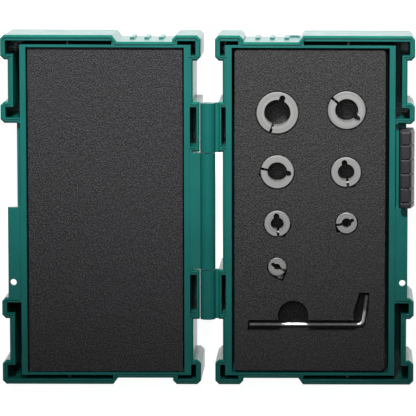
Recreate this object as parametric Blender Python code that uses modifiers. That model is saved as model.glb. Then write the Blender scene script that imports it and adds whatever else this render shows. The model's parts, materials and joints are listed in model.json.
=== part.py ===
"""Hinged tool case lying fully open, with seven split drill stop collars and a hex key in foam.

Sizes are in millimetres and are scaled to metres where a mesh is made. The hinge axis runs along Y
above the origin, the base tray lies on +X, the lid tray on -X, and both stand on their backs at
Z = 0. "out" is the distance from the hinge axis, the same on both trays.
"""

import math

import bmesh
import bpy
from mathutils import Matrix, Vector

MM = 0.001

# Overall sizes of one tray
TRAY_DEPTH = 40.0
TUB_WIDTH = 75.25
TUB_LENGTH = 156.6
FLOOR = 2.4

# Walls met on the way out from the hinge
BUMPER_FACE_OUT = 3.4
HINGE_WALL_OUT = 7.1
HINGE_WALL = 4.25
LATCH_INNER_WALL = 2.8
SIDE_CHANNEL = 3.2
SIDE_OUTER_WALL = 2.5
BUMPER_STAND = 3.6

# Walls met on the way out from the middle of the tray to its ends
END_INNER_WALL = 1.2
END_CHANNEL = 2.0
END_OUTER_WALL = 2.6
END_RECESS = 3.1

# Bumpers, blocks and their hollows
POCKET_WALL = 2.35
HINGE_POCKET = 2.4
CORNER_BUMPER_RUN = 11.8
HINGE_BUMPER_RUN = 12.1
HINGE_BUMPER_OUT = 16.9
BAR_START_OUT = 43.3
BAR_SLANT = 2.3
BAR_RIB = 1.2
BAR_RIB_OUT = 67.0
BAR_RIB_BELOW_RIM = 6.0
CORNER_CHAMFER = 1.8
EDGE_CHAMFER = 0.8
HINGE_BLOCK_START = 28.4
HINGE_BLOCK_END = 52.3
BASE_BLOCK_FACE_OUT = 5.0
BLOCK_FACE_WALL = 1.4
BLOCK_POCKET_END_OUT = 8.6
LATCH_BAY_HALF = 42.0
LATCH_BLOCK_RUN = 10.2
BACK_PANEL_RECESS = 0.7
BACK_PANEL_MARGIN = 6.0

# Ribs on the recessed middle of each end wall, and the base tray's end tab
END_RIBS = 3
END_RIB_FIRST_OUT = 23.2
END_RIB_PITCH = 7.0
END_RIB_WIDTH = 2.2
END_RIB_STAND = 0.9
END_RIB_TOP = 21.5
END_RIB_BOTTOM = 1.2
END_TAB_START_OUT = 38.5
END_TAB_WIDTH = 4.7
END_TAB_STAND = 0.8
END_TAB_TOP = 6.0

# Hinge
CLOSED_GAP = 0.3
KNUCKLE_RADIUS = 3.6
LID_KNUCKLE_HALF = 27.9
KNUCKLE_GAP = 0.3
END_KNUCKLE_END = 52.0
END_WEB_BELOW_RIM = 1.3
LID_BLOCK_CLEARANCE = 0.4
PIN_RADIUS = 1.3
PIN_CLEARANCE = 0.3
PIN_INSET = 0.7

# Latch: a flange on each tray, a T-shaped rail on the base, and the slider that grips them
BAY_WALL = 4.6
FLANGE_REACH = 4.3
FLANGE_THICKNESS = 2.2
FLANGE_TOP_END = 1.6
FLANGE_HOLE_RADIUS = 1.55
FLANGE_HOLE_FROM_WALL = 1.9
FLANGE_HOLE_ALONG = -34.6
LEDGE_DEPTH = 3.0
RAIL_BELOW_RIM = 10.0
RAIL_STEM = 1.6
RAIL_STEM_REACH = 1.6
RAIL_HEAD = 4.2
RAIL_HEAD_REACH = 3.0
RAIL_STOP = 2.0
RAIL_STOP_STAND = 0.6
SLIDER_LENGTH = 37.3
SLIDER_START = 1.9
SLIDER_TRAVEL = 29.5
SLIDER_REACH = 7.5
SLIDER_TOP_REACH = 5.7
SLIDER_SHOULDER = 7.5
SLIDER_WALL_GAP = 0.4
SLIDER_CLEARANCE = 0.3
SLIDER_JAW = 1.9
SLIDER_BELOW_RAIL = 1.4
SLIDER_ROUND = 0.9
SLIDER_GROOVE = 0.8
SLIDER_GROOVE_DEPTH = 0.6
SLIDER_GROOVES = 5
SLIDER_GROOVE_PITCH = 6.9

# Foam
FOAM_BELOW_RIM = 1.2
FOAM_GAP = 0.3
BASE_FOAM_HINGE_GAP = 1.4
BASE_FOAM_LATCH_GAP = 1.9
BASE_FOAM_END_GAP = 0.9
LID_FOAM_SIDE_GAP = 0.8
LID_FOAM_END_GAP = 0.4
BASE_FOAM_CORNER = 1.2
LID_FOAM_CORNER = 0.4

# Stop collars: label, bore, wall, place out from the hinge and along it, direction of the cut
# and of the relief notch in degrees, screw size, screw seat from the cut's middle, seat's side
COLLAR_HEIGHT = 10.0
COLLAR_CUT = 1.3
COLLAR_CHAMFER = 0.35
NOTCH_SKIN = 1.2
COLLAR_CLEARANCE = 0.45
SCREW_CLEARANCE = 0.15
HEAD_CLEARANCE = 0.2
COLLARS = (
    ("1_2in", 12.7, 3.70, 33.1, 47.1, 250, 71, "M1.6", 1.6, 1),
    ("7_16in", 11.11, 3.55, 66.2, 48.4, 140, 322, "M1.6", 1.6, 1),
    ("3_8in", 9.53, 3.25, 33.1, 18.7, 168, 352, "M1.6", 1.6, 1),
    ("5_16in", 7.94, 3.25, 66.0, 18.7, 278, 100, "M1.6", 1.6, 1),
    ("1_4in", 6.35, 3.10, 33.1, -6.2, 275, 96, "M1.6", 1.6, 1),
    ("3_16in", 4.76, 2.75, 66.3, -5.8, 193, 25, "M1.6", 1.6, 1),
    ("1_8in", 3.18, 2.90, 33.1, -27.1, 335, 149, "M2", 2.9, -1),
)
# Relief notch radius by bore: the two smallest bores have the smaller notch
NOTCH_RADIUS = 1.4
SMALL_NOTCH_RADIUS = 0.9
SMALL_NOTCH_BELOW_BORE = 5.0
# Socket-head cap screws: shank radius, head radius, head height
SCREWS = {"M1.6": (0.8, 1.5, 1.6), "M2": (1.0, 1.9, 2.0)}
SCREW_SOCKET_FLATS = 1.5
SCREW_SOCKET_DEPTH = 0.8
SCREW_THREAD_RUN = 2.6
SCREW_SEAT_GAP = 0.15
SCREW_EDGE = 0.15

# Hex key and its slot
KEY_FLATS = 1.5
KEY_LONG = 55.5
KEY_SHORT = 15.3
KEY_BEND_RADIUS = 2.6
KEY_LEAN = 8.0
KEY_END_OUT = 19.5
KEY_ALONG = -56.4
KEY_BEND_STEPS = 8
KEY_FLOOR_GAP = 0.2
SLOT_LONG_START_OUT = 18.9
SLOT_LOW = -58.2
SLOT_HIGH = -54.2
SLOT_SHORT_START_OUT = 69.8
SLOT_SHORT_MIDDLE = -48.4
SLOT_TIP_START_OUT = 72.6
SLOT_SHORT_END_OUT = 76.4
SLOT_TIP_END_OUT = 77.4
SLOT_SHORT_TOP = -39.4
FINGER_OUT = 40.8
FINGER_ALONG = -50.8
FINGER_RADIUS = 7.4

# Places that follow from the sizes above
TUB_START_OUT = HINGE_WALL_OUT + HINGE_WALL
TUB_END_OUT = TUB_START_OUT + TUB_WIDTH
CHANNEL_START_OUT = TUB_END_OUT + LATCH_INNER_WALL
CHANNEL_END_OUT = CHANNEL_START_OUT + SIDE_CHANNEL
SIDE_WALL_OUT = CHANNEL_END_OUT + SIDE_OUTER_WALL
TRAY_REACH = SIDE_WALL_OUT + BUMPER_STAND
BAY_WALL_OUT = TUB_END_OUT + BAY_WALL
POCKET_END_OUT = TRAY_REACH - POCKET_WALL
TUB_HALF = TUB_LENGTH / 2
END_CHANNEL_START = TUB_HALF + END_INNER_WALL
END_CHANNEL_END = END_CHANNEL_START + END_CHANNEL
HALF_LENGTH = END_CHANNEL_END + END_OUTER_WALL
RECESS_ALONG = HALF_LENGTH - END_RECESS
BUMPER_END = HALF_LENGTH - CORNER_BUMPER_RUN
HINGE_BUMPER_END = HALF_LENGTH - HINGE_BUMPER_RUN
LATCH_BLOCK_END = LATCH_BAY_HALF + LATCH_BLOCK_RUN
HINGE_POCKET_START_OUT = BUMPER_FACE_OUT + POCKET_WALL
HINGE_POCKET_END_OUT = HINGE_POCKET_START_OUT + HINGE_POCKET
LID_BLOCK_FACE_OUT = KNUCKLE_RADIUS + LID_BLOCK_CLEARANCE
AXIS_HEIGHT = TRAY_DEPTH + CLOSED_GAP / 2
FOAM_TOP = TRAY_DEPTH - FOAM_BELOW_RIM
FOAM_BOTTOM = FLOOR + FOAM_GAP
POCKET_FLOOR = FOAM_TOP - COLLAR_HEIGHT - FOAM_GAP
SLIDER_INNER_OUT = BAY_WALL_OUT + SLIDER_WALL_GAP
SLIDER_OUTER_OUT = BAY_WALL_OUT + SLIDER_REACH
FLANGE_END_OUT = BAY_WALL_OUT + FLANGE_REACH
RAIL_HEIGHT = TRAY_DEPTH - RAIL_BELOW_RIM
SLIDER_TOP = TRAY_DEPTH + CLOSED_GAP + FLANGE_THICKNESS + SLIDER_CLEARANCE + SLIDER_JAW
SLIDER_BOTTOM = RAIL_HEIGHT - RAIL_HEAD / 2 - SLIDER_CLEARANCE - SLIDER_BELOW_RAIL
SLIDER_STOP_LOW = SLIDER_START - SLIDER_TRAVEL - SLIDER_CLEARANCE
SLIDER_STOP_HIGH = SLIDER_START + SLIDER_LENGTH + SLIDER_CLEARANCE

# How far a cutter runs past what it cuts, and how far joined solids run into each other
OVERCUT = 5.0
OVERLAP = 1.0
ABOVE = TRAY_DEPTH + OVERCUT
BELOW = -OVERCUT

BASE, LID = 1, -1


def clear_scene():
    for old in list(bpy.data.objects):
        bpy.data.objects.remove(old)


def new_collection(name, parent=None):
    group = bpy.data.collections.new(name)
    (parent or bpy.context.scene.collection).children.link(group)
    return group


def new_object(name, mesh):
    solid = bpy.data.objects.new(name, mesh)
    helpers.objects.link(solid)
    return solid


def mesh_from(name, shape):
    """Moves a bmesh, made in millimetres, into a mesh in metres."""
    bmesh.ops.scale(shape, vec=(MM, MM, MM), verts=shape.verts)
    bmesh.ops.recalc_face_normals(shape, faces=shape.faces)
    mesh = bpy.data.meshes.new(name)
    shape.to_mesh(mesh)
    shape.free()
    return mesh


def box(name, x, y, z):
    """A box between the two X, the two Y and the two Z values, in either order."""
    low = Vector([min(pair) for pair in (x, y, z)])
    high = Vector([max(pair) for pair in (x, y, z)])
    shape = bmesh.new()
    bmesh.ops.create_cube(shape, size=1.0)
    bmesh.ops.scale(shape, vec=high - low, verts=shape.verts)
    bmesh.ops.translate(shape, vec=(low + high) / 2, verts=shape.verts)
    return new_object(name, mesh_from(name, shape))


def rod(name, radius, start, end, sides=24):
    """A cylinder between two points."""
    start, end = Vector(start), Vector(end)
    shape = bmesh.new()
    bmesh.ops.create_cone(
        shape, cap_ends=True, segments=sides, radius1=radius, radius2=radius, depth=(end - start).length
    )
    aim = (end - start).to_track_quat("Z", "Y").to_matrix().to_4x4()
    bmesh.ops.transform(shape, matrix=Matrix.Translation((start + end) / 2) @ aim, verts=shape.verts)
    return new_object(name, mesh_from(name, shape))


def prism(name, outline, low, high):
    """A flat outline made into a plate between two heights."""
    curve = bpy.data.curves.new(name, "CURVE")
    curve.dimensions = "2D"
    curve.fill_mode = "BOTH"
    curve.extrude = (high - low) / 2 * MM
    spline = curve.splines.new("POLY")
    spline.points.add(len(outline) - 1)
    for point, (x, y) in zip(spline.points, outline):
        point.co = (x * MM, y * MM, 0, 1)
    spline.use_cyclic_u = True
    guide = bpy.data.objects.new(name + "_outline", curve)
    guide.location.z = (low + high) / 2 * MM
    return mesh_of_curve(name, guide)


def bar(name, profile, along):
    """A profile of (out, height) points made into a bar along the hinge direction."""
    solid = prism(name, profile, -max(along), -min(along))
    upright = Matrix.Rotation(math.radians(90), 4, "X")
    solid.data.transform(upright @ solid.matrix_world)
    solid.matrix_world = Matrix.Identity(4)
    return solid


def mesh_of_curve(name, guide):
    """Turns a curve object into a mesh object with its caps welded on."""
    helpers.objects.link(guide)
    bpy.context.view_layer.update()
    graph = bpy.context.evaluated_depsgraph_get()
    mesh = bpy.data.meshes.new_from_object(guide.evaluated_get(graph))
    shape = bmesh.new()
    shape.from_mesh(mesh)
    bmesh.ops.remove_doubles(shape, verts=shape.verts, dist=0.001 * MM)
    bmesh.ops.recalc_face_normals(shape, faces=shape.faces)
    shape.to_mesh(mesh)
    shape.free()
    mesh.name = name
    solid = new_object(name, mesh)
    solid.matrix_world = guide.matrix_world.copy()
    bpy.data.objects.remove(guide)
    return solid


def combine(solid, operation, tools):
    """Joins the tools to a solid, or cuts them from it, with one exact Boolean."""
    group = new_collection(f"{solid.name}_{operation.lower()}", cutters)
    for tool in tools:
        helpers.objects.unlink(tool)
        group.objects.link(tool)
        tool.hide_render = True
        tool.display_type = "WIRE"
    boolean = solid.modifiers.new(operation.title(), "BOOLEAN")
    boolean.operation = operation
    boolean.solver = "EXACT"
    boolean.operand_type = "COLLECTION"
    boolean.collection = group


def round_edges(solid, width, segments=1):
    bevel = solid.modifiers.new("Rounded edges", "BEVEL")
    bevel.width = width * MM
    bevel.segments = segments
    bevel.limit_method = "ANGLE"
    bevel.angle_limit = math.radians(25)


def chamfer_rims(solid, width):
    """Chamfers the edges round both flat ends of a prism, and leaves its upright corners."""
    shape = bmesh.new()
    shape.from_mesh(solid.data)
    inside_caps, rims = [], []
    for edge in shape.edges:
        flat = [abs(face.normal.z) > 0.5 for face in edge.link_faces]
        if all(flat):
            inside_caps.append(edge)
        elif any(flat):
            rims.append(edge)
    bmesh.ops.dissolve_edges(shape, edges=inside_caps, use_verts=False)
    bmesh.ops.bevel(shape, geom=rims, offset=width * MM, segments=1, affect="EDGES", clamp_overlap=False)
    shape.to_mesh(solid.data)
    shape.free()


def material(name, color, roughness, metallic=0.0):
    made = bpy.data.materials.new(name)
    made.use_nodes = True
    shader = made.node_tree.nodes["Principled BSDF"]
    shader.inputs["Base Color"].default_value = (*color, 1.0)
    shader.inputs["Roughness"].default_value = roughness
    shader.inputs["Metallic"].default_value = metallic
    return made


def finish(solid, color, roughness, metallic=0.0, pivot=None, smooth=False):
    """Makes a solid one of the object's parts, with its own material and its origin on its pivot."""
    helpers.objects.unlink(solid)
    parts.objects.link(solid)
    solid.data.materials.clear()
    solid.data.materials.append(material(solid.name, color, roughness, metallic))
    if smooth:
        solid.data.shade_smooth()
        solid.data.set_sharp_from_angle(angle=math.radians(35))
    if pivot:
        offset = Vector(pivot) * MM - solid.matrix_world.translation
        solid.data.transform(Matrix.Translation(-offset))
        solid.matrix_world = Matrix.Translation(offset) @ solid.matrix_world
    return solid


def rotated(vector, degrees):
    angle = math.radians(degrees)
    x, y = vector
    return (x * math.cos(angle) - y * math.sin(angle), x * math.sin(angle) + y * math.cos(angle))


# ---------------------------------------------------------------- trays


def tray_outline(side, block_face_out):
    """The tray seen from above: hinge side, end with its recess, bumpers and the latch bay."""
    cut = CORNER_CHAMFER
    half = [
        (HINGE_WALL_OUT, HINGE_BLOCK_START),
        (block_face_out, HINGE_BLOCK_START),
        (block_face_out, HINGE_BLOCK_END),
        (HINGE_WALL_OUT, HINGE_BLOCK_END),
        (HINGE_WALL_OUT, HINGE_BUMPER_END),
        (BUMPER_FACE_OUT + cut, HINGE_BUMPER_END),
        (BUMPER_FACE_OUT, HINGE_BUMPER_END + cut),
        (BUMPER_FACE_OUT, HALF_LENGTH - cut),
        (BUMPER_FACE_OUT + cut, HALF_LENGTH),
        (HINGE_BUMPER_OUT - cut, HALF_LENGTH),
        (HINGE_BUMPER_OUT, HALF_LENGTH - cut),
        (HINGE_BUMPER_OUT, RECESS_ALONG),
        (BAR_START_OUT, RECESS_ALONG),
        (BAR_START_OUT + BAR_SLANT, HALF_LENGTH),
        (TRAY_REACH - cut, HALF_LENGTH),
        (TRAY_REACH, HALF_LENGTH - cut),
        (TRAY_REACH, BUMPER_END + cut),
        (TRAY_REACH - cut, BUMPER_END),
        (SIDE_WALL_OUT, BUMPER_END),
        (SIDE_WALL_OUT, LATCH_BLOCK_END),
        (TRAY_REACH - cut, LATCH_BLOCK_END),
        (TRAY_REACH, LATCH_BLOCK_END - cut),
        (TRAY_REACH, LATCH_BAY_HALF + cut),
        (TRAY_REACH - cut, LATCH_BAY_HALF),
        (BAY_WALL_OUT, LATCH_BAY_HALF),
    ]
    other_half = [(out, -along) for out, along in reversed(half)]
    return [(side * out, along) for out, along in half + other_half]


def side_box(name, side, out, along, z):
    return box(name, (side * out[0], side * out[1]), along, z)


def tray_hollows(side, block_face_out):
    """The tub and the deep narrow hollows of the double wall."""
    deep = (FLOOR, ABOVE)
    hollows = [
        side_box("tub", side, (TUB_START_OUT, TUB_END_OUT), (-TUB_HALF, TUB_HALF), deep),
        side_box(
            "ledge",
            side,
            (CHANNEL_START_OUT, TRAY_REACH),
            (FLANGE_TOP_END, LATCH_BAY_HALF),
            (TRAY_DEPTH - LEDGE_DEPTH, ABOVE),
        ),
        side_box(
            "back_panel",
            side,
            (TUB_START_OUT + BACK_PANEL_MARGIN, TUB_END_OUT - BACK_PANEL_MARGIN),
            (-TUB_HALF + BACK_PANEL_MARGIN, TUB_HALF - BACK_PANEL_MARGIN),
            (BELOW, BACK_PANEL_RECESS),
        ),
    ]
    corner = (BUMPER_END + POCKET_WALL, END_CHANNEL_END)
    hinge_corner = (HINGE_BUMPER_END + POCKET_WALL, END_CHANNEL_END)
    end_channel = (END_CHANNEL_START, END_CHANNEL_END)
    bar_end = BAR_START_OUT + POCKET_WALL
    latch_pocket = (LATCH_BAY_HALF + POCKET_WALL, LATCH_BLOCK_END - POCKET_WALL)
    hinge_pocket = (HINGE_BLOCK_START + POCKET_WALL, HINGE_BLOCK_END - POCKET_WALL)
    block_pocket = (block_face_out + BLOCK_FACE_WALL, BLOCK_POCKET_END_OUT)
    above_rib = (TRAY_DEPTH - BAR_RIB_BELOW_RIM, ABOVE)
    runs = (
        ("bar_inner", (bar_end, BAR_RIB_OUT - BAR_RIB / 2), end_channel, deep),
        ("bar_outer", (BAR_RIB_OUT + BAR_RIB / 2, POCKET_END_OUT), end_channel, deep),
        ("bar_above_rib", (bar_end, POCKET_END_OUT), end_channel, above_rib),
        ("corner", (CHANNEL_START_OUT, POCKET_END_OUT), corner, deep),
        ("side", (CHANNEL_START_OUT, CHANNEL_END_OUT), (latch_pocket[0], END_CHANNEL_END), deep),
        ("latch_block", (CHANNEL_START_OUT, POCKET_END_OUT), latch_pocket, deep),
        ("hinge_corner", (HINGE_POCKET_START_OUT, HINGE_POCKET_END_OUT), hinge_corner, deep),
        ("hinge_end", (HINGE_POCKET_START_OUT, HINGE_BUMPER_OUT - POCKET_WALL), end_channel, deep),
        ("hinge_block", block_pocket, hinge_pocket, deep),
    )
    for end in (-1, 1):
        for name, out, (low, high), z in runs:
            hollows.append(side_box(name, side, out, (end * low, end * high), z))
    return hollows


def flange(side):
    """The flat locking flange at the rim, which ends where the slider parks."""
    return side_box(
        "flange",
        side,
        (BAY_WALL_OUT - OVERLAP, FLANGE_END_OUT),
        (-LATCH_BAY_HALF - OVERLAP, FLANGE_TOP_END),
        (TRAY_DEPTH - FLANGE_THICKNESS, TRAY_DEPTH),
    )


def flange_hole(side):
    x = side * (BAY_WALL_OUT + FLANGE_HOLE_FROM_WALL)
    low = (x, FLANGE_HOLE_ALONG, TRAY_DEPTH - FLANGE_THICKNESS - OVERLAP)
    high = (x, FLANGE_HOLE_ALONG, ABOVE)
    return rod("flange_hole", FLANGE_HOLE_RADIUS, low, high, 16)


def end_ribs(side):
    """Short upright ribs on the recessed middle of both end walls."""
    ribs = []
    for end in (-1, 1):
        along = (end * (RECESS_ALONG - OVERLAP), end * (RECESS_ALONG + END_RIB_STAND))
        for number in range(END_RIBS):
            middle = END_RIB_FIRST_OUT + number * END_RIB_PITCH
            out = (middle - END_RIB_WIDTH / 2, middle + END_RIB_WIDTH / 2)
            ribs.append(side_box("end_rib", side, out, along, (END_RIB_BOTTOM, END_RIB_TOP)))
    return ribs


def end_tab():
    """The low tab beside the long bumper at the base tray's +Y end."""
    out = (END_TAB_START_OUT, END_TAB_START_OUT + END_TAB_WIDTH)
    along = (RECESS_ALONG - OVERLAP, RECESS_ALONG + END_TAB_STAND)
    return side_box("end_tab", BASE, out, along, (END_RIB_BOTTOM, END_TAB_TOP))


def knuckle(side, along, web_out, web_top):
    """A hinge knuckle round the axis, with the flat web that carries it."""
    web = side_box("web", side, (0.0, web_out), along, (TRAY_DEPTH - KNUCKLE_RADIUS, web_top))
    barrel = rod("barrel", KNUCKLE_RADIUS, (0, along[0], AXIS_HEIGHT), (0, along[1], AXIS_HEIGHT), 28)
    return [barrel, web]


def pin_bore():
    reach = END_KNUCKLE_END + OVERCUT
    start, end = (0, -reach, AXIS_HEIGHT), (0, reach, AXIS_HEIGHT)
    return rod("pin_bore", PIN_RADIUS + PIN_CLEARANCE, start, end, 16)


def slide_rail():
    """The T-shaped rail that the slider runs on, with a stop at each end of its travel."""
    rail_end = LATCH_BAY_HALF + OVERLAP
    along = (SLIDER_STOP_LOW - RAIL_STOP, rail_end)
    stem_z = (RAIL_HEIGHT - RAIL_STEM / 2, RAIL_HEIGHT + RAIL_STEM / 2)
    head_z = (RAIL_HEIGHT - RAIL_HEAD / 2, RAIL_HEIGHT + RAIL_HEAD / 2)
    wall = BAY_WALL_OUT - OVERLAP
    stem_end = BAY_WALL_OUT + RAIL_STEM_REACH
    head_end = BAY_WALL_OUT + RAIL_HEAD_REACH
    head_middle = (stem_end + head_end) / 2
    stop_out = (wall, head_end + RAIL_STOP_STAND)
    stop_z = (head_z[0] - RAIL_STOP_STAND, head_z[1] + RAIL_STOP_STAND)
    return [
        side_box("rail_stem", BASE, (wall, head_middle), along, stem_z),
        side_box("rail_head", BASE, (stem_end, head_end), along, head_z),
        side_box("low_stop", BASE, stop_out, (along[0], SLIDER_STOP_LOW), stop_z),
        side_box("high_stop", BASE, stop_out, (SLIDER_STOP_HIGH, rail_end), stop_z),
    ]


def make_tray(name, side, block_face_out, added):
    body = prism(name, tray_outline(side, block_face_out), 0.0, TRAY_DEPTH)
    chamfer_rims(body, EDGE_CHAMFER)
    combine(body, "UNION", [flange(side)] + end_ribs(side) + added)
    combine(body, "DIFFERENCE", tray_hollows(side, block_face_out) + [flange_hole(side), pin_bore()])
    return finish(body, (0.0, 0.16, 0.135), 0.42, pivot=(0, 0, AXIS_HEIGHT))


def make_base_tray():
    start = LID_KNUCKLE_HALF + KNUCKLE_GAP
    added = slide_rail() + [end_tab()]
    for end in (-1, 1):
        along = (end * start, end * END_KNUCKLE_END)
        added += knuckle(BASE, along, BASE_BLOCK_FACE_OUT + OVERLAP, TRAY_DEPTH - END_WEB_BELOW_RIM)
    return make_tray("base_tray", BASE, BASE_BLOCK_FACE_OUT, added)


def make_lid_tray():
    along = (-LID_KNUCKLE_HALF, LID_KNUCKLE_HALF)
    added = knuckle(LID, along, HINGE_WALL_OUT + OVERLAP, TRAY_DEPTH)
    return make_tray("lid_tray", LID, LID_BLOCK_FACE_OUT, added)


def make_hinge_pin():
    reach = END_KNUCKLE_END - PIN_INSET
    pin = rod("hinge_pin", PIN_RADIUS, (0, -reach, AXIS_HEIGHT), (0, reach, AXIS_HEIGHT), 16)
    finish(pin, (0.55, 0.55, 0.56), 0.3, 1.0, pivot=(0, 0, AXIS_HEIGHT), smooth=True)


# ---------------------------------------------------------------- latch slider


def slider_side(inset):
    """The edge of the slider's top and the shoulder of its leaning side, moved in by an inset."""
    return [
        (BAY_WALL_OUT + SLIDER_TOP_REACH - inset, SLIDER_TOP - inset),
        (SLIDER_OUTER_OUT - inset, SLIDER_TOP - SLIDER_SHOULDER),
    ]


def slider_grooves():
    """Grooves across the top that run on down the outer side."""
    inset = SLIDER_GROOVE_DEPTH
    inner, outer = SLIDER_INNER_OUT - OVERCUT, SLIDER_OUTER_OUT + OVERCUT
    low, high = SLIDER_BOTTOM - OVERCUT, SLIDER_TOP + OVERCUT
    profile = [(inner, SLIDER_TOP - inset), *slider_side(inset), (SLIDER_OUTER_OUT - inset, low)]
    profile += [(outer, low), (outer, high), (inner, high)]
    grooves = []
    for number in range(1, SLIDER_GROOVES + 1):
        middle = SLIDER_START + SLIDER_LENGTH - number * SLIDER_GROOVE_PITCH
        grooves.append(bar("groove", profile, (middle - SLIDER_GROOVE / 2, middle + SLIDER_GROOVE / 2)))
    return grooves


def make_latch_slider():
    along = (SLIDER_START, SLIDER_START + SLIDER_LENGTH)
    past = (along[0] - OVERCUT, along[1] + OVERCUT)
    gap = SLIDER_CLEARANCE
    profile = [(SLIDER_INNER_OUT, SLIDER_TOP), *slider_side(0.0)]
    profile += [(SLIDER_OUTER_OUT, SLIDER_BOTTOM), (SLIDER_INNER_OUT, SLIDER_BOTTOM)]
    slider = bar("latch_slider", profile, along)
    round_edges(slider, SLIDER_ROUND)
    mouth = BAY_WALL_OUT - OVERLAP
    flange_z = (TRAY_DEPTH - FLANGE_THICKNESS - gap, TRAY_DEPTH + CLOSED_GAP + FLANGE_THICKNESS + gap)
    stem_z = (RAIL_HEIGHT - RAIL_STEM / 2 - gap, RAIL_HEIGHT + RAIL_STEM / 2 + gap)
    head_z = (RAIL_HEIGHT - RAIL_HEAD / 2 - gap, RAIL_HEIGHT + RAIL_HEAD / 2 + gap)
    head_out = (BAY_WALL_OUT + RAIL_STEM_REACH - gap, BAY_WALL_OUT + RAIL_HEAD_REACH + gap)
    slots = [
        side_box("flange_slot", BASE, (mouth, FLANGE_END_OUT + gap), past, flange_z),
        side_box("stem_slot", BASE, (mouth, sum(head_out) / 2), past, stem_z),
        side_box("head_slot", BASE, head_out, past, head_z),
    ]
    combine(slider, "DIFFERENCE", slots + slider_grooves())
    finish(slider, (0.055, 0.052, 0.058), 0.5, pivot=(SLIDER_INNER_OUT, SLIDER_START, RAIL_HEIGHT))


# ---------------------------------------------------------------- foam


def foam_outline(side, out, half, c):
    """A rectangle with its corners cut by c."""
    low, high = out
    corners = [
        (low + c, -half),
        (high - c, -half),
        (high, -half + c),
        (high, half - c),
        (high - c, half),
        (low + c, half),
        (low, half - c),
        (low, -half + c),
    ]
    return [(side * x, y) for x, y in corners]


def collar_screw_axis(bore, wall, cut, seat_side):
    """Middle of the screw where it crosses the cut, seen from the collar's centre, and its direction."""
    middle = rotated((bore / 2 + wall / 2, 0), cut)
    along = rotated((1, 0), cut + 90 * seat_side)
    return Vector((*middle, 0)), Vector((*along, 0))


def collar_pocket(label, bore, wall, out, along, cut, seat, seat_side, screw):
    """The round pocket of a collar, with room beside it where the screw's head stands out."""
    z = (POCKET_FLOOR - OVERLAP, ABOVE)
    radius = bore / 2 + wall + COLLAR_CLEARANCE
    pocket = [rod(f"pocket_{label}", radius, (out, along, z[0]), (out, along, z[1]), 32)]
    head_radius, head_height = SCREWS[screw][1:]
    reach = math.hypot(bore / 2 + wall / 2 + head_radius, seat + head_height)
    if reach + HEAD_CLEARANCE > radius:
        middle, direction = collar_screw_axis(bore, wall, cut, seat_side)
        room = head_radius + COLLAR_CLEARANCE
        length = seat + head_height + COLLAR_CLEARANCE
        slot = box(f"head_room_{label}", (-room, room), (0, length), z)
        turn = Matrix.Rotation(math.atan2(-direction.x, direction.y), 4, "Z")
        place = Vector((out, along, 0)) + middle
        slot.data.transform(Matrix.Translation(place * MM) @ turn)
        pocket.append(slot)
    return pocket


def key_pocket():
    """The hex key's slot, the wider pocket round its short arm and the finger notch."""
    z = (POCKET_FLOOR - OVERLAP, ABOVE)
    finger = (FINGER_OUT, FINGER_ALONG)
    short_pocket = [
        (SLOT_SHORT_START_OUT, SLOT_LOW),
        (SLOT_SHORT_END_OUT, SLOT_LOW),
        (SLOT_TIP_END_OUT, SLOT_SHORT_TOP),
        (SLOT_TIP_START_OUT, SLOT_SHORT_TOP),
        (SLOT_SHORT_START_OUT, SLOT_SHORT_MIDDLE),
    ]
    return [
        box("long_slot", (SLOT_LONG_START_OUT, SLOT_SHORT_END_OUT - OVERLAP), (SLOT_LOW, SLOT_HIGH), z),
        prism("short_slot", short_pocket, *z),
        rod("finger_notch", FINGER_RADIUS, (*finger, z[0]), (*finger, z[1]), 32),
    ]


def make_base_foam():
    out = (TUB_START_OUT + BASE_FOAM_HINGE_GAP, TUB_END_OUT - BASE_FOAM_LATCH_GAP)
    outline = foam_outline(BASE, out, TUB_HALF - BASE_FOAM_END_GAP, BASE_FOAM_CORNER)
    lower = prism("base_foam_bottom", outline, FOAM_BOTTOM, POCKET_FLOOR - FOAM_GAP)
    finish(lower, (0.05, 0.05, 0.05), 0.95)
    upper = prism("base_foam_top", outline, POCKET_FLOOR, FOAM_TOP)
    pockets = key_pocket()
    for label, bore, wall, x, y, cut, _, screw, seat, seat_side in COLLARS:
        pockets += collar_pocket(label, bore, wall, x, y, cut, seat, seat_side, screw)
    combine(upper, "DIFFERENCE", pockets)
    finish(upper, (0.05, 0.05, 0.05), 0.95)


def make_lid_foam():
    out = (TUB_START_OUT + LID_FOAM_SIDE_GAP, TUB_END_OUT - LID_FOAM_SIDE_GAP)
    outline = foam_outline(LID, out, TUB_HALF - LID_FOAM_END_GAP, LID_FOAM_CORNER)
    foam = prism("lid_foam", outline, FOAM_BOTTOM, FOAM_TOP)
    finish(foam, (0.045, 0.045, 0.048), 0.95, pivot=(0, 0, AXIS_HEIGHT))


# ---------------------------------------------------------------- collars and screws


def slot_across(name, centre, degrees, half_width, length, z):
    """A flat-sided slot from a collar's centre outwards."""
    corners = ((0, half_width), (0, -half_width), (length, -half_width), (length, half_width))
    return prism(name, [centre.xy + Vector(rotated(corner, degrees)) for corner in corners], *z)


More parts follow.
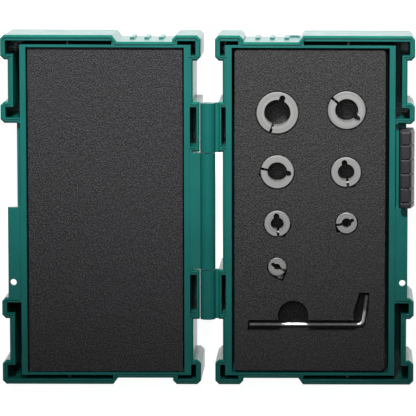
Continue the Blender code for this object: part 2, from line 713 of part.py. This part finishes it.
def make_collar(label, bore, wall, out, along, cut, notch, screw, seat, seat_side):
    """A split ring: bore, relief notch, cut, and the clamp screw's hole with its seat."""
    radius = bore / 2 + wall
    low, high = FOAM_TOP - COLLAR_HEIGHT, FOAM_TOP
    centre = Vector((out, along, 0))
    collar = rod(f"collar_{label}", radius, (out, along, low), (out, along, high), 36)
    round_edges(collar, COLLAR_CHAMFER)

    notch_radius = SMALL_NOTCH_RADIUS if bore < SMALL_NOTCH_BELOW_BORE else NOTCH_RADIUS
    notch_reach = radius - NOTCH_SKIN - notch_radius
    notch_middle = centre.xy + Vector(rotated((notch_reach, 0), notch))
    middle, direction = collar_screw_axis(bore, wall, cut, seat_side)
    shank_radius, head_radius, _ = SCREWS[screw]
    screw_middle = centre + middle + Vector((0, 0, (low + high) / 2))
    head_seat = screw_middle + direction * seat
    past_ring = direction * (radius + OVERCUT)
    past = (low - OVERCUT, high + OVERCUT)
    cuts = [
        rod("bore", bore / 2, (out, along, past[0]), (out, along, past[1]), 32),
        rod("notch", notch_radius, (*notch_middle, past[0]), (*notch_middle, past[1]), 14),
        slot_across("notch_neck", centre, notch, notch_radius, notch_reach, past),
        slot_across("cut", centre, cut, COLLAR_CUT / 2, radius + OVERCUT, past),
        rod("screw_hole", shank_radius + SCREW_CLEARANCE, screw_middle - past_ring, head_seat, 14),
        rod("head_room", head_radius + HEAD_CLEARANCE, head_seat, head_seat + past_ring, 18),
    ]
    combine(collar, "DIFFERENCE", cuts)
    finish(collar, (0.62, 0.62, 0.62), 0.38, 1.0, pivot=(out, along, low), smooth=True)
    make_screw(label, screw, screw_middle, direction, seat)


def make_screw(label, size, middle, direction, seat):
    """A socket-head cap screw lying across the collar's cut."""
    shank_radius, head_radius, head_height = SCREWS[size]
    under_head = middle + direction * (seat + SCREW_SEAT_GAP)
    top = under_head + direction * head_height
    tip = middle - direction * SCREW_THREAD_RUN
    screw = rod(f"clamp_screw_{label}", head_radius, under_head, top, 18)
    round_edges(screw, SCREW_EDGE)
    shank = rod("shank", shank_radius, tip, (under_head + top) / 2 - direction * SCREW_EDGE, 12)
    socket_radius = SCREW_SOCKET_FLATS / math.sqrt(3)
    socket = rod("socket", socket_radius, top - direction * SCREW_SOCKET_DEPTH, top + direction, 6)
    combine(screw, "UNION", [shank])
    combine(screw, "DIFFERENCE", [socket])
    finish(screw, (0.3, 0.3, 0.31), 0.35, 1.0, pivot=middle, smooth=True)


# ---------------------------------------------------------------- hex key


def make_hex_key():
    """A hexagonal bar bent once: a curve along the two arms, with a round bend between them."""
    bend = math.radians(90 - KEY_LEAN)
    corner_cut = KEY_BEND_RADIUS * math.tan(bend / 2)
    corner_out = KEY_END_OUT + KEY_LONG - KEY_FLATS / 2
    height = POCKET_FLOOR + KEY_FLATS / math.sqrt(3) + KEY_FLOOR_GAP
    lean = math.radians(KEY_LEAN)
    rise = Vector((math.sin(lean), math.cos(lean), 0))
    corner = Vector((corner_out, KEY_ALONG, height))
    centre = Vector((corner_out - corner_cut, KEY_ALONG + KEY_BEND_RADIUS, height))
    route = [Vector((KEY_END_OUT, KEY_ALONG, height))]
    for step in range(KEY_BEND_STEPS + 1):
        angle = bend * step / KEY_BEND_STEPS
        route.append(centre + KEY_BEND_RADIUS * Vector((math.sin(angle), -math.cos(angle), 0)))
    route.append(corner + rise * (KEY_SHORT - KEY_FLATS / 2))

    curve = bpy.data.curves.new("hex_key", "CURVE")
    curve.dimensions = "3D"
    curve.use_fill_caps = True
    curve.bevel_mode = "OBJECT"
    curve.bevel_object = hexagon_outline()
    spline = curve.splines.new("POLY")
    spline.points.add(len(route) - 1)
    for point, place in zip(spline.points, route):
        point.co = (*(place * MM), 1)
    key = mesh_of_curve("hex_key", bpy.data.objects.new("key_route", curve))
    bpy.data.objects.remove(curve.bevel_object)
    finish(key, (0.35, 0.35, 0.36), 0.3, 1.0, pivot=corner)


def hexagon_outline():
    outline = bpy.data.curves.new("hexagon", "CURVE")
    outline.dimensions = "2D"
    spline = outline.splines.new("POLY")
    spline.points.add(5)
    for number, point in enumerate(spline.points):
        x, y = rotated((KEY_FLATS / math.sqrt(3) * MM, 0), 60 * number + 30)
        point.co = (x, y, 0, 1)
    spline.use_cyclic_u = True
    guide = bpy.data.objects.new("hexagon", outline)
    helpers.objects.link(guide)
    return guide


clear_scene()
parts = new_collection("stop_collar_case")
cutters = new_collection("cutters")
cutters.hide_render = True
helpers = new_collection("making")

make_base_tray()
make_lid_tray()
make_hinge_pin()
make_latch_slider()
make_base_foam()
make_lid_foam()
for collar in COLLARS:
    make_collar(*collar)
make_hex_key()

bpy.data.collections.remove(helpers)
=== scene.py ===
import json
import math

import bmesh
import bpy
import numpy as np
from mathutils import Matrix, Vector


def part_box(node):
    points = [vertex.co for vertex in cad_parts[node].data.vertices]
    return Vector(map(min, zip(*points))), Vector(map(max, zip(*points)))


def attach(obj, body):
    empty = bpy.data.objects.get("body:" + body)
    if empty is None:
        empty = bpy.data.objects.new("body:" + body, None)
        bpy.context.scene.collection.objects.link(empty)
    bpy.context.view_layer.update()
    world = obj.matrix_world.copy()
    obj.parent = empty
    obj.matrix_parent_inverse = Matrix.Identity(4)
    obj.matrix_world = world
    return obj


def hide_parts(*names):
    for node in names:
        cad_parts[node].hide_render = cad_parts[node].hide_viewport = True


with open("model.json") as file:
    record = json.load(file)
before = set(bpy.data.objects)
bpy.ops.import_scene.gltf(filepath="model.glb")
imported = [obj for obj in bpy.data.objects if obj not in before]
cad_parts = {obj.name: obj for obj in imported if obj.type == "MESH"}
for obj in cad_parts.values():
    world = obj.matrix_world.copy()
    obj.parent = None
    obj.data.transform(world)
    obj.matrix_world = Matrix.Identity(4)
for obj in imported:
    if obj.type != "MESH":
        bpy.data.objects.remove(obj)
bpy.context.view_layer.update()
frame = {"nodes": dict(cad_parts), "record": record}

MM = 0.001
BODY_OF = {node: body for body, nodes in frame["record"]["behaviour"]["bodies"].items() for node in nodes}
COLLARS = [node for node in frame["nodes"] if node.startswith("collar_")]
SCREWS = [node for node in frame["nodes"] if node.startswith("clamp_screw_")]

# Details that the CAD leaves out
FOAM_BELOW_RIM = 1.2 * MM
LIP_WIDTH = 1.3 * MM
LIP_GROOVE = 0.45 * MM
LIP_GROOVE_DEPTH = 0.6 * MM
KEY_SLOT_FAR_WALL = 4.3 * MM  # from the key's low side; the CAD foam's wall is nearer
FOAM_CELL = 0.75 * MM
FOAM_LIFT = 0.16 * MM
FOAM_OF_TRAY = {"base_tray": "base_foam_top", "lid_tray": "lid_foam"}
FLAT_ANGLE = math.radians(1.0)

# Camera: how the case is seen in its catalogue picture
IMAGE_SIDE = 416
PIXELS_PER_MM = 2.0926
CAMERA_DISTANCE = 1.389
CAMERA_PLACE = (math.radians(2.6), math.radians(7.5))
CAMERA_FACING = (math.radians(-0.6), math.radians(5.87))
CAMERA_ROLL = math.radians(0.18)
TARGET_X = 0.05 * MM
TARGET_Y = 1.5 * MM
SENSOR_MM = 36.0

# Lights: a spot beyond the +Y end that fades out towards the other end, a softbox by the camera,
# a dim surround, and a mid-grey floor that a glow turns near white
KEY_PLACE = (0.0, 0.55, 0.50)
KEY_AIM = (0.0, 0.4155, 0.04)
KEY_CONE = math.radians(76)
KEY_BLEND = 0.14
KEY_POWER = 33.0
KEY_SOFTNESS = 0.05
OVERHEAD_PLACE = (0.0, 0.3, 1.25)
OVERHEAD_AIM = (0.0, 0.0, 0.04)
OVERHEAD_SIZE = 0.25
OVERHEAD_POWER = 1.6
AMBIENT = 0.1
FLOOR_HALF_SIDE = 3.0
FLOOR_BELOW_CASE = 0.3 * MM
FLOOR_DARK = (0.29, 0.29, 0.29)
FLOOR_LIGHT = (0.32, 0.32, 0.32)
FLOOR_GLOW = 0.95
WHITE = (1.0, 1.0, 1.0, 1.0)


# ---------------------------------------------------------------- material nodes


def new_material(name):
    made = bpy.data.materials.new(name)
    made.use_nodes = True
    return made, made.node_tree, made.node_tree.nodes["Principled BSDF"]


def add(tree, kind, settings=None, **inputs):
    """A shader node with its settings, and each input set to a value or linked to a socket."""
    made = tree.nodes.new(kind)
    for key, value in (settings or {}).items():
        setattr(made, key, value)
    for key, value in inputs.items():
        socket = made.inputs[int(key[1:])] if key[0] == "_" else made.inputs[key.replace("_", " ")]
        if isinstance(value, bpy.types.NodeSocket):
            tree.links.new(value, socket)
        else:
            socket.default_value = value
    return made


def noise(tree, coords, scale, detail=2.0, roughness=0.5):
    made = add(tree, "ShaderNodeTexNoise", Vector=coords, Scale=scale, Detail=detail, Roughness=roughness)
    return made.outputs["Fac"]


def spread(tree, value, low, high, low_in=0.25, high_in=0.75):
    made = add(tree, "ShaderNodeMapRange", Value=value, _1=low_in, _2=high_in, _3=low, _4=high)
    return made.outputs["Result"]


def shades(tree, value, *stops):
    """A colour ramp: stops are (place, colour)."""
    ramp = add(tree, "ShaderNodeValToRGB", Fac=value)
    elements = ramp.color_ramp.elements
    while len(elements) < len(stops):
        elements.new(0.5)
    for element, (place, color) in zip(elements, stops):
        element.position = place
        element.color = (*color, 1.0)
    return ramp.outputs["Color"]


def scaled(color, factor):
    return tuple(min(1.0, channel * factor) for channel in color)


def bump(tree, height, distance, strength=1.0, normal=None):
    made = add(tree, "ShaderNodeBump", Height=height, Strength=strength, Distance=distance)
    if normal is not None:
        tree.links.new(normal, made.inputs["Normal"])
    return made.outputs["Normal"]


def moulded_plastic(name, color, roughness, grain, gloss_level=0.5, coat=0.0):
    """Injection-moulded plastic with a fine eroded grain, faint flow marks and uneven gloss."""
    made, tree, shader = new_material(name)
    coords = add(tree, "ShaderNodeTexCoord").outputs["Object"]
    flow = noise(tree, coords, 28.0, 4.0, 0.6)
    tint = shades(tree, flow, (0.3, scaled(color, 0.9)), (0.7, scaled(color, 1.1)))
    tree.links.new(tint, shader.inputs["Base Color"])
    gloss = spread(tree, noise(tree, coords, 160.0, 3.0), roughness - 0.05, roughness + 0.06)
    tree.links.new(gloss, shader.inputs["Roughness"])
    coarse = bump(tree, noise(tree, coords, 1800.0, 2.0), grain)
    fine = bump(tree, noise(tree, coords, 5200.0, 1.0), grain * 0.4, normal=coarse)
    tree.links.new(fine, shader.inputs["Normal"])
    shader.inputs["Specular IOR Level"].default_value = gloss_level
    shader.inputs["Coat Weight"].default_value = coat
    shader.inputs["Coat Roughness"].default_value = 0.2
    return made


def foam_skin(name, color, contrast):
    """Dense closed-cell foam: a matt skin of pebbles about half a millimetre across."""
    made, tree, shader = new_material(name)
    coords = add(tree, "ShaderNodeTexCoord").outputs["Object"]
    grains = noise(tree, coords, 1500.0, 2.0, 0.6)
    dark = scaled(color, 1 - contrast)
    light = scaled(color, 1 + 2.2 * contrast)
    tint = shades(tree, grains, (0.42, dark), (0.5, color), (0.59, light))
    tree.links.new(tint, shader.inputs["Base Color"])
    pebbles = add(
        tree, "ShaderNodeTexVoronoi", {"feature": "SMOOTH_F1"}, Vector=coords, Scale=1900.0, Smoothness=0.3
    ).outputs["Distance"]
    cells = bump(tree, pebbles, 0.0002, 0.6)
    pores = bump(tree, grains, 0.0002, 0.6, normal=cells)
    tree.links.new(pores, shader.inputs["Normal"])
    shader.inputs["Roughness"].default_value = 0.62
    shader.inputs["Specular IOR Level"].default_value = 0.5
    return made


def turned_steel(name, color, roughness):
    """Steel turned on a lathe about the piece's own Z axis: fine rings on its faces and its side."""
    made, tree, shader = new_material(name)
    coords = add(tree, "ShaderNodeTexCoord").outputs["Object"]
    split = add(tree, "ShaderNodeSeparateXYZ", Vector=coords)
    flat = add(tree, "ShaderNodeCombineXYZ", X=split.outputs["X"], Y=split.outputs["Y"]).outputs["Vector"]
    radius = add(tree, "ShaderNodeVectorMath", {"operation": "LENGTH"}, _0=flat).outputs["Value"]
    rings = add(tree, "ShaderNodeCombineXYZ", X=radius, Z=split.outputs["Z"]).outputs["Vector"]
    marks = noise(tree, rings, 3600.0, 2.0, 0.6)
    stains = noise(tree, coords, 420.0, 4.0, 0.65)
    cuts = noise(tree, rings, 1500.0, 1.0)
    tint = shades(tree, cuts, (0.35, scaled(color, 0.84)), (0.5, color), (0.65, scaled(color, 1.08)))
    tree.links.new(tint, shader.inputs["Base Color"])
    tree.links.new(spread(tree, stains, roughness - 0.06, roughness + 0.1), shader.inputs["Roughness"])
    tree.links.new(bump(tree, marks, 0.00002, 0.7), shader.inputs["Normal"])
    shader.inputs["Metallic"].default_value = 1.0
    return made


def drawn_steel(name, color, roughness, along, metallic=1.0):
    """Plated bar with faint lines along one axis."""
    made, tree, shader = new_material(name)
    coords = add(tree, "ShaderNodeTexCoord").outputs["Object"]
    stretch = tuple(0.02 if axis == along else 1.0 for axis in "XYZ")
    lines = add(tree, "ShaderNodeMapping", Vector=coords, Scale=stretch).outputs["Vector"]
    marks = noise(tree, lines, 4200.0, 2.0)
    stains = noise(tree, coords, 350.0, 4.0)
    tint = shades(tree, stains, (0.3, scaled(color, 0.85)), (0.7, scaled(color, 1.1)))
    tree.links.new(tint, shader.inputs["Base Color"])
    tree.links.new(spread(tree, marks, roughness - 0.05, roughness + 0.08), shader.inputs["Roughness"])
    tree.links.new(bump(tree, marks, 0.00002, 0.5), shader.inputs["Normal"])
    shader.inputs["Metallic"].default_value = metallic
    return made


# ---------------------------------------------------------------- pieces


def dissolved_copy(node):
    """A bmesh of a CAD node with its flat faces made whole again."""
    shape = bmesh.new()
    shape.from_mesh(frame["nodes"][node].data)
    bmesh.ops.remove_doubles(shape, verts=shape.verts, dist=0.0005 * MM)
    bmesh.ops.dissolve_limit(shape, angle_limit=FLAT_ANGLE, verts=shape.verts, edges=shape.edges)
    return shape


def piece_from(name, shape, node, material, origin=None):
    """A new piece in place of a CAD node: it rides on that node's body."""
    if origin is not None:
        bmesh.ops.translate(shape, vec=-origin, verts=shape.verts)
    mesh = bpy.data.meshes.new(name)
    shape.to_mesh(mesh)
    shape.free()
    mesh.materials.append(material)
    piece = bpy.data.objects.new(name, mesh)
    bpy.context.scene.collection.objects.link(piece)
    if origin is not None:
        piece.location = origin
    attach(piece, BODY_OF[node])
    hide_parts(node)
    return piece


def soften_edges(piece, width, segments=2, angle=30):
    piece.data.shade_smooth()
    bevel = piece.modifiers.new("Edge rounding", "BEVEL")
    bevel.width = width * MM
    bevel.segments = segments
    bevel.limit_method = "ANGLE"
    bevel.angle_limit = math.radians(angle)
    flats = piece.modifiers.new("Flat faces stay flat", "WEIGHTED_NORMAL")
    flats.weight = 100
    flats.keep_sharp = True
    apply_modifiers(piece)


def apply_modifiers(piece):
    graph = bpy.context.evaluated_depsgraph_get()
    done = bpy.data.meshes.new_from_object(piece.evaluated_get(graph))
    old = piece.data
    piece.modifiers.clear()
    piece.data = done
    bpy.data.meshes.remove(old)


def middle(node):
    low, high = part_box(node)
    return (low + high) / 2


def make_rigid(node, material, width, centred=False, segments=2):
    piece = piece_from(
        node + "_detailed", dissolved_copy(node), node, material, middle(node) if centred else None
    )
    soften_edges(piece, width, segments)
    return piece


def outline_at(node, height):
    """The outermost outline of a node at a height, as points in order."""
    shape = bmesh.new()
    shape.from_mesh(frame["nodes"][node].data)
    everything = shape.verts[:] + shape.edges[:] + shape.faces[:]
    bmesh.ops.bisect_plane(
        shape,
        geom=everything,
        plane_co=(0, 0, height),
        plane_no=(0, 0, 1),
        clear_inner=True,
        clear_outer=True,
    )
    bmesh.ops.remove_doubles(shape, verts=shape.verts, dist=0.001 * MM)
    loops = []
    left = set(shape.verts)
    while left:
        vert = min(left, key=lambda v: (v.co.x, v.co.y))
        loop = []
        while vert in left:
            left.remove(vert)
            loop.append(vert.co.xy)
            around = [edge.other_vert(vert) for edge in vert.link_edges]
            vert = next((other for other in around if other in left), vert)
        loops.append(loop)
    shape.free()
    return corners_only(max(loops, key=width_of))


def width_of(loop):
    return max(point.x for point in loop) - min(point.x for point in loop)


def corners_only(loop):
    """Leaves out the points on straight runs, and turns the loop anticlockwise."""
    kept = []
    for before, point, after in zip(loop[-1:] + loop[:-1], loop, loop[1:] + loop[:1]):
        if abs((point - before).normalized().cross((after - point).normalized())) > 0.01:
            kept.append(point)
    area = sum(a.cross(b) for a, b in zip(kept, kept[1:] + kept[:1]))
    return kept if area > 0 else kept[::-1]


def moved_in(loop, distance):
    """An anticlockwise outline moved inwards, with its corners kept square."""
    moved = []
    for before, point, after in zip(loop[-1:] + loop[:-1], loop, loop[1:] + loop[:1]):
        first = (point - before).normalized().orthogonal()
        second = (after - point).normalized().orthogonal()
        moved.append(point + (first + second) * distance / (1 + first.dot(second)))
    return moved


def lip_groove(loop, top):
    """A square ring that follows the outline, to cut the fine groove round the rim's lip."""
    shape = bmesh.new()
    rings = []
    for distance, height in (
        (LIP_WIDTH, top - LIP_GROOVE_DEPTH),
        (LIP_WIDTH + LIP_GROOVE, top - LIP_GROOVE_DEPTH),
        (LIP_WIDTH + LIP_GROOVE, top + MM),
        (LIP_WIDTH, top + MM),
    ):
        rings.append([shape.verts.new((*point, height)) for point in moved_in(loop, distance)])
    for ring, other in zip(rings, rings[1:] + rings[:1]):
        for number in range(len(loop)):
            after = (number + 1) % len(loop)
            shape.faces.new((ring[number], ring[after], other[after], other[number]))
    bmesh.ops.recalc_face_normals(shape, faces=shape.faces)
    return shape


def make_tray(node, material, lip_painted_highlight):
    """The moulded tray: a fine groove parts the rim's outer lip from its inner land, and the lip's faces
    take a second, more saturated and less glossy teal that paints on the highlight the rounded lip catches.
    """
    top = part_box(FOAM_OF_TRAY[node])[1].z + FOAM_BELOW_RIM
    outline = outline_at(node, top - 5 * MM)
    piece = piece_from(node + "_detailed", dissolved_copy(node), node, material)
    piece.data.materials.append(lip_painted_highlight)
    cut_with(piece, lip_groove(outline, top))
    shape = bmesh.new()
    shape.from_mesh(piece.data)
    bmesh.ops.dissolve_limit(shape, angle_limit=FLAT_ANGLE, verts=shape.verts, edges=shape.edges)
    # Faces of the outer lip take the second material, whose colour is a painted highlight.
    for face in shape.faces:
        face.material_index = int(is_lip(face, outline, top))
    shape.to_mesh(piece.data)
    shape.free()
    soften_edges(piece, 0.2)


def is_lip(face, outline, top):
    if face.normal.z < 0.3 or face.calc_center_median().z < top - 2 * MM:
        return False
    return all(distance_to(outline, vert.co.xy) < LIP_WIDTH + 0.05 * MM for vert in face.verts)


def distance_to(loop, point):
    nearest = []
    for start, end in zip(loop, loop[1:] + loop[:1]):
        run = end - start
        share = min(1.0, max(0.0, (point - start).dot(run) / run.length_squared))
        nearest.append((point - start - run * share).length)
    return min(nearest)


def cut_with(piece, cutter_shape, operation="DIFFERENCE"):
    mesh = bpy.data.meshes.new("cutter")
    cutter_shape.to_mesh(mesh)
    cutter_shape.free()
    cutter = bpy.data.objects.new("cutter", mesh)
    bpy.context.scene.collection.objects.link(cutter)
    boolean = piece.modifiers.new("Cut", "BOOLEAN")
    boolean.operation = operation
    boolean.solver = "EXACT"
    boolean.object = cutter
    bpy.context.view_layer.update()
    apply_modifiers(piece)
    bpy.data.objects.remove(cutter)
    bpy.data.meshes.remove(mesh)


def make_foam(node, material, seed):
    """Foam with a pebbled top: a grid block with a noisy top, cut to the CAD outline and its pockets."""
    low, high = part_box(node)
    margin = 2.0 * MM
    nx = round((high.x - low.x + 2 * margin) / FOAM_CELL)
    ny = round((high.y - low.y + 2 * margin) / FOAM_CELL)
    grid = bmesh.new()
    bmesh.ops.create_grid(grid, x_segments=nx, y_segments=ny, size=0.5)
    centre = (low + high) / 2
    size = high - low + Vector((2 * margin, 2 * margin, 0))
    bmesh.ops.scale(grid, vec=(size.x, size.y, 1), verts=grid.verts)
    bmesh.ops.translate(grid, vec=(centre.x, centre.y, high.z), verts=grid.verts)
    rng = np.random.default_rng(seed)
    heights = pebble_heights(nx + 1, ny + 1, rng) * FOAM_LIFT
    grid.verts.ensure_lookup_table()
    order = sorted(grid.verts, key=lambda v: (round(v.co.y / FOAM_CELL * 4), v.co.x))
    for vert, height in zip(order, heights.ravel()):
        vert.co.z += height - FOAM_LIFT
    edges = [edge for edge in grid.edges if edge.is_boundary]
    walls = bmesh.ops.extrude_edge_only(grid, edges=edges)
    lower = [item for item in walls["geom"] if isinstance(item, bmesh.types.BMVert)]
    for vert in lower:
        vert.co.z = low.z - margin
    rim = [edge for edge in grid.edges if edge.is_boundary]
    bmesh.ops.contextual_create(grid, geom=rim)
    bmesh.ops.recalc_face_normals(grid, faces=grid.faces)
    block = piece_from(node + "_detailed", grid, node, material)

    outline = bmesh.new()
    outline.from_mesh(frame["nodes"][node].data)
    for vert in outline.verts:
        if vert.co.z > high.z - 0.1 * MM:
            vert.co.z += margin
    cut_with(block, outline, "INTERSECT")
    block.data.materials.clear()
    block.data.materials.append(material)
    return block


def widen_key_slot(foam):
    """Moves the slot's +Y wall beyond the CAD foam's, to let more light onto the key's long arm."""
    low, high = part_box("hex_key")
    corner = Vector((low.x - 0.3 * MM, low.y + 1.0 * MM, low.z))
    foam_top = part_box("base_foam_top")[1].z
    far = Vector((high.x - 1.0 * MM, low.y + KEY_SLOT_FAR_WALL, foam_top + 2.0 * MM))
    block = bmesh.new()
    bmesh.ops.create_cube(block, size=1.0)
    bmesh.ops.scale(block, vec=far - corner, verts=block.verts)
    bmesh.ops.translate(block, vec=(corner + far) / 2, verts=block.verts)
    cut_with(foam, block)


def pebble_heights(columns, rows, rng):
    """Smoothed random heights from 0 to 1: small pebbles with a little slow unevenness."""
    def blurred(field, times):
        for _ in range(times):
            field = (field + np.roll(field, 1, 0) + np.roll(field, -1, 0)) / 3
            field = (field + np.roll(field, 1, 1) + np.roll(field, -1, 1)) / 3
        spread_out = field - field.mean()
        return spread_out / spread_out.std()

    fine = blurred(rng.random((rows, columns)), 1)
    slow = blurred(rng.random((rows, columns)), 40)
    mixed = fine + 0.5 * slow
    return (mixed - mixed.min()) / (mixed.max() - mixed.min())


# ---------------------------------------------------------------- stage


def make_floor():
    mesh = bpy.data.meshes.new("floor")
    shape = bmesh.new()
    bmesh.ops.create_grid(shape, x_segments=1, y_segments=1, size=FLOOR_HALF_SIDE)
    bmesh.ops.translate(shape, vec=(0, 0, -FLOOR_BELOW_CASE), verts=shape.verts)
    shape.to_mesh(mesh)
    shape.free()
    floor = bpy.data.objects.new("floor", mesh)
    bpy.context.scene.collection.objects.link(floor)
    made, tree, shader = new_material("floor_paper")
    coords = add(tree, "ShaderNodeTexCoord").outputs["Object"]
    tint = shades(tree, noise(tree, coords, 3.0), (0.3, FLOOR_DARK), (0.7, FLOOR_LIGHT))
    tree.links.new(tint, shader.inputs["Base Color"])
    shader.inputs["Roughness"].default_value = 0.8
    shader.inputs["Emission Color"].default_value = WHITE
    shader.inputs["Emission Strength"].default_value = FLOOR_GLOW
    mesh.materials.append(made)


def place_lamp(data, place, aim):
    lamp = bpy.data.objects.new(data.name, data)
    lamp.location = place
    lamp.rotation_euler = (Vector(aim) - Vector(place)).to_track_quat("-Z", "Y").to_euler()
    lamp.visible_camera = False
    bpy.context.scene.collection.objects.link(lamp)


def make_lights():
    key = bpy.data.lights.new("key_spot", "SPOT")
    key.energy = KEY_POWER
    key.spot_size = KEY_CONE
    key.spot_blend = KEY_BLEND
    key.shadow_soft_size = KEY_SOFTNESS
    place_lamp(key, KEY_PLACE, KEY_AIM)
    overhead = bpy.data.lights.new("overhead_softbox", "AREA")
    overhead.size = OVERHEAD_SIZE
    overhead.energy = OVERHEAD_POWER
    place_lamp(overhead, OVERHEAD_PLACE, OVERHEAD_AIM)
    world = bpy.data.worlds.new("studio")
    bpy.context.scene.world = world
    world.use_nodes = True
    backdrop = world.node_tree.nodes["Background"]
    backdrop.inputs["Color"].default_value = WHITE
    backdrop.inputs["Strength"].default_value = AMBIENT


def direction(tilt_x, tilt_y):
    """A unit vector near +Z that leans by two angles."""
    return Vector((math.tan(tilt_x), math.tan(tilt_y), 1.0)).normalized()


def make_camera():
    """A camera off to one side of the case, faced more nearly straight down and recentred by lens shift."""
    target = Vector((TARGET_X, TARGET_Y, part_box("base_foam_top")[1].z + FOAM_BELOW_RIM))
    place = target + direction(*CAMERA_PLACE) * CAMERA_DISTANCE
    back = direction(*CAMERA_FACING)
    right = Vector((math.cos(CAMERA_ROLL), math.sin(CAMERA_ROLL), 0))
    right = (right - back * right.dot(back)).normalized()
    up = back.cross(right)
    depth = (place - target).dot(back)
    data = bpy.data.cameras.new("camera")
    data.sensor_width = SENSOR_MM
    data.lens = PIXELS_PER_MM * depth / MM * SENSOR_MM / IMAGE_SIDE
    data.shift_x = (target - place).dot(right) / depth * data.lens / SENSOR_MM
    data.shift_y = (target - place).dot(up) / depth * data.lens / SENSOR_MM
    data.clip_end = 20.0
    camera = bpy.data.objects.new("camera", data)
    camera.matrix_world = Matrix.Translation(place) @ Matrix((right, up, back)).transposed().to_4x4()
    bpy.context.scene.collection.objects.link(camera)
    bpy.context.scene.camera = camera


# ---------------------------------------------------------------- build

bpy.context.scene.view_settings.view_transform = "Standard"

teal = moulded_plastic("teal_plastic", (0.005, 0.13, 0.114), 0.34, 0.00002, 0.3, 0.4)
# The rim's outer lip: a more saturated, less glossy copy of the teal, a painted highlight for the light the
# rounded lip catches.
teal_lip_painted_highlight = moulded_plastic("teal_lip_painted_highlight", (0.0, 0.13, 0.094), 0.6, 0.00002, 0.1)
grey = moulded_plastic("latch_plastic", (0.022, 0.02, 0.025), 0.45, 0.00004)
base_foam = foam_skin("base_foam_skin", (0.016, 0.016, 0.016), 0.75)
lid_foam = foam_skin("lid_foam_skin", (0.012, 0.012, 0.0135), 0.95)
ring_steel = turned_steel("turned_steel", (0.42, 0.42, 0.415), 0.7)
screw_steel = turned_steel("screw_steel", (0.22, 0.22, 0.22), 0.55)
key_steel = drawn_steel("key_steel", (0.85, 0.85, 0.85), 0.42, "X", 0.6)
bright_steel = drawn_steel("bright_screw_steel", (0.85, 0.85, 0.85), 0.5, "Z", 0.5)
pin_steel = drawn_steel("pin_steel", (0.5, 0.5, 0.5), 0.3, "Y")

for tray in ("base_tray", "lid_tray"):
    make_tray(tray, teal, teal_lip_painted_highlight)
make_rigid("latch_slider", grey, 0.2)
make_rigid("hinge_pin", pin_steel, 0.2)
make_rigid("hex_key", key_steel, 0.12)
for collar in COLLARS:
    make_rigid(collar, ring_steel, 0.08, centred=True)
for screw in SCREWS:
    steel = bright_steel if screw == "clamp_screw_1_8in" else screw_steel
    make_rigid(screw, steel, 0.06, centred=True, segments=1)
widen_key_slot(make_foam("base_foam_top", base_foam, seed=11))
make_foam("lid_foam", lid_foam, seed=12)
make_rigid("base_foam_bottom", base_foam, 0.3)

make_floor()
make_lights()
make_camera()
